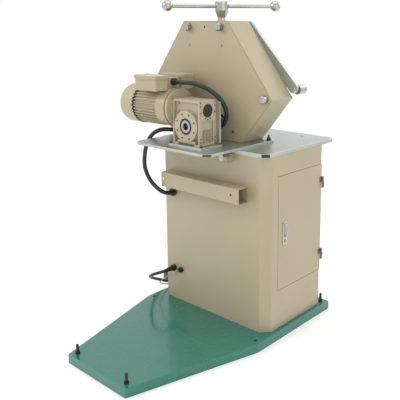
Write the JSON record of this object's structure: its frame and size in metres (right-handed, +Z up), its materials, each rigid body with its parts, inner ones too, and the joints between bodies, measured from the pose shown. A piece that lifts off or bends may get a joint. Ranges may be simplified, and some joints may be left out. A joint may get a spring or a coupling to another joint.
{
  "type": "section bending machine",
  "caption": "Motor-driven bending machine with grooved forming rollers, screw press, tilting gear head and cabinet stand.",
  "frame": {"origin": "on the floor under the middle of the base pan", "axes": "+Z up, +X to the cabinet's door side, +Y to the working side with the rollers, -Y to the motor side"},
  "size_m": [1.046, 1.238, 1.568],
  "materials": {
    "green_paint": "gloss",
    "dark_steel": "oiled",
    "beige_paint": "satin",
    "cast_beige": "satin over cast aluminium",
    "bright_steel": "ground",
    "chrome": "polished",
    "machined_steel": "turned",
    "black_rubber": "matt",
    "grey_plastic": "matt",
    "yellow_paint": "satin"
  },
  "bodies": {
    "stand": {"base_pan": "green_paint", "levelling_studs": "dark_steel", "cabinet_shell": "beige_paint", "frame_hinges": "bright_steel", "table_plate": "bright_steel", "rest_rail": "beige_paint", "cable_glands": "black_rubber", "control_box": "grey_plastic", "tilt_brackets": "beige_paint", "motor_conduit": "black_rubber", "mains_cord": "black_rubber", "pedal_cord": "grey_plastic", "mains_coil": "black_rubber", "mains_plug": "black_rubber", "pedal_base": "black_rubber"},
    "door": {"door": "beige_paint", "door_hinges": "bright_steel", "lock_plate": "chrome"},
    "door_latch": {"lock_cam": "chrome"},
    "head": {"tilt_ears": "bright_steel", "head_plate": "bright_steel", "hold_down_bolts": "dark_steel", "gearbox_plates": "bright_steel", "gearbox_body": "cast_beige", "output_cover": "cast_beige", "gearbox_caps": "black_rubber", "motor_shields": "beige_paint", "motor_frame": "beige_paint", "fan_cover": "beige_paint", "terminal_boxes": "beige_paint", "box_lids": "beige_paint", "motor_gland": "black_rubber", "housing_band": "beige_paint", "housing_cover": "beige_paint", "housing_bolts": "bright_steel", "front_plate": "bright_steel", "front_bearings": "machined_steel", "front_pins": "bright_steel"},
    "drive": {"output_wheel": "machined_steel", "right_shaft": "machined_steel", "right_gear": "machined_steel", "right_roller": "machined_steel"},
    "motor_rotor": {"rotor": "machined_steel", "cooling_fan": "grey_plastic"},
    "idler": {"idler_gear": "machined_steel"},
    "left_drive": {"left_shaft": "machined_steel", "left_gear": "machined_steel", "left_roller": "machined_steel"},
    "carriage": {"slide_block": "machined_steel"},
    "upper_drive": {"upper_shaft": "machined_steel", "upper_roller": "machined_steel"},
    "screw": {"pressure_screw": "machined_steel", "handle_hub": "chrome", "handle_bar": "chrome"},
    "left_arm": {"left_guide_arm": "bright_steel"},
    "right_arm": {"right_guide_arm": "bright_steel"},
    "left_guide": {"left_guide_roller": "machined_steel"},
    "right_guide": {"right_guide_roller": "machined_steel"},
    "pedal": {"pedal_lever": "yellow_paint"}
  },
  "joints": [
    {"name": "head_tilt", "type": "hinge", "parent": "stand", "child": "head", "pos_m": [0, 0.069, 0.852], "axis": [1, 0, 0], "range_deg": [0, 90], "deforming": ["motor_conduit"]},
    {"name": "door_swing", "type": "hinge", "parent": "stand", "child": "door", "pos_m": [0.357, 0.536, 0.5], "axis": [0, 0, 1], "range_deg": [0, 110]},
    {"name": "latch_turn", "type": "hinge", "parent": "door", "child": "door_latch", "pos_m": [0.352, 0.235, 0.4985], "axis": [1, 0, 0], "range_deg": [-90, 0]},
    {"name": "drive_spin", "type": "hinge", "parent": "head", "child": "drive", "pos_m": [-0.005, 0.2, 0.996], "axis": [0, 1, 0], "continuous": true},
    {"name": "motor_spin", "type": "hinge", "parent": "head", "child": "motor_rotor", "pos_m": [-0.2, 0.009, 1.071], "axis": [1, 0, 0], "continuous": true},
    {"name": "idler_spin", "type": "hinge", "parent": "head", "child": "idler", "pos_m": [-0.103, 0.25, 0.996], "axis": [0, 1, 0], "continuous": true},
    {"name": "left_spin", "type": "hinge", "parent": "head", "child": "left_drive", "pos_m": [-0.201, 0.3, 0.996], "axis": [0, 1, 0], "continuous": true},
    {"name": "press_slide", "type": "slide", "parent": "head", "child": "carriage", "axis": [0, 0, 1], "range_m": [-0.07, 0.02]},
    {"name": "upper_spin", "type": "hinge", "parent": "carriage", "child": "upper_drive", "pos_m": [-0.103, 0.36, 1.196], "axis": [0, 1, 0], "continuous": true},
    {"name": "screw_turn", "type": "hinge", "parent": "head", "child": "screw", "pos_m": [-0.103, 0.304, 1.45], "axis": [0, 0, 1], "range_deg": [-6310, 1810]},
    {"name": "left_arm_swing", "type": "hinge", "parent": "head", "child": "left_arm", "pos_m": [-0.26668, 0.347, 1.41788], "axis": [0, 1, 0], "range_deg": [0, 15]},
    {"name": "right_arm_swing", "type": "hinge", "parent": "head", "child": "right_arm", "pos_m": [0.06068, 0.347, 1.41788], "axis": [0, 1, 0], "range_deg": [-15, 0]},
    {"name": "left_guide_spin", "type": "hinge", "parent": "left_arm", "child": "left_guide", "pos_m": [-0.521, 0.39, 1.153], "axis": [0, 1, 0], "continuous": true},
    {"name": "right_guide_spin", "type": "hinge", "parent": "right_arm", "child": "right_guide", "pos_m": [0.315, 0.39, 1.153], "axis": [0, 1, 0], "continuous": true},
    {"name": "pedal_press", "type": "hinge", "parent": "stand", "child": "pedal", "pos_m": [-0.392, 0.54, 0.052], "axis": [0, 1, 0], "range_deg": [-9, 0], "stiffness_Nm_per_rad": 8, "springref_deg": 14.32}
  ],
  "couplings": [
    {"joint": "motor_spin", "follows": "drive_spin", "ratio": 30},
    {"joint": "idler_spin", "follows": "drive_spin", "ratio": -1.8},
    {"joint": "left_spin", "follows": "drive_spin", "ratio": 1},
    {"joint": "screw_turn", "follows": "press_slide", "rad_per_m": 1570.8}
  ]
}
